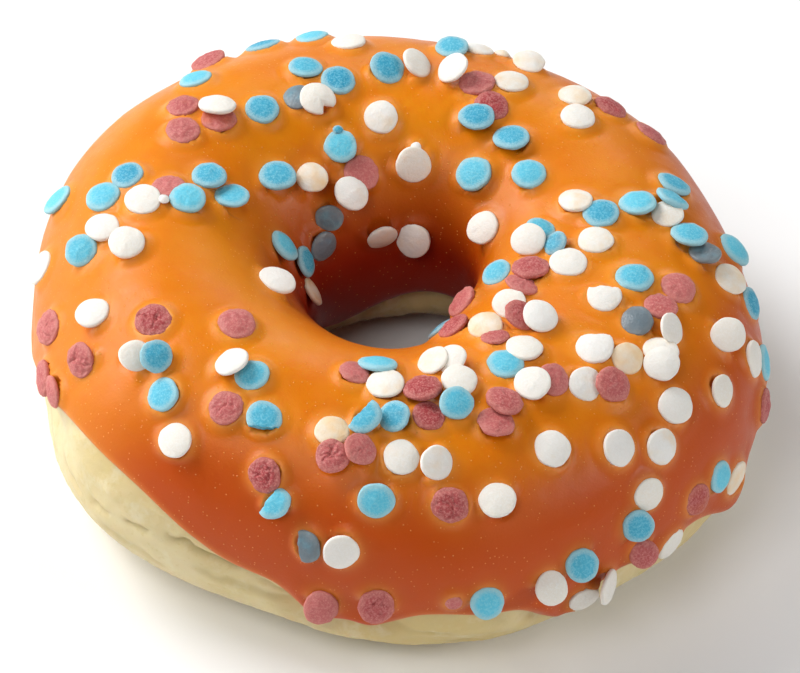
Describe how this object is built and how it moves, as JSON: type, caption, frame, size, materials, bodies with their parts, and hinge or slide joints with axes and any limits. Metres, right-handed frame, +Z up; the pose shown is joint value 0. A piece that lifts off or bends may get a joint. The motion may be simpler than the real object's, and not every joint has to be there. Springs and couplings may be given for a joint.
{
  "type": "sprinkle frosted doughnut",
  "caption": "Ring doughnut of pale yeast dough with a dipped cap of glossy orange icing and pastel confetti sprinkles. Lies flat on its foot.",
  "frame": {"origin": "under the middle of the bounding box, on the surface that the foot rests on", "axes": "+Z up along the hole. -Y is the front, the side with the lowest icing drips. +X to the right seen from the front."},
  "size_m": [0.089, 0.0868, 0.0332],
  "materials": {
    "dough": "matt fried crust of pale dough",
    "icing": "satin gloss, slightly translucent set icing",
    "sprinkle_blue": "powdery pressed sugar",
    "sprinkle_white": "powdery pressed sugar",
    "sprinkle_rose": "powdery pressed sugar"
  },
  "bodies": {
    "root": {"dough": "dough", "icing": "icing"}
  },
  "joints": []
}
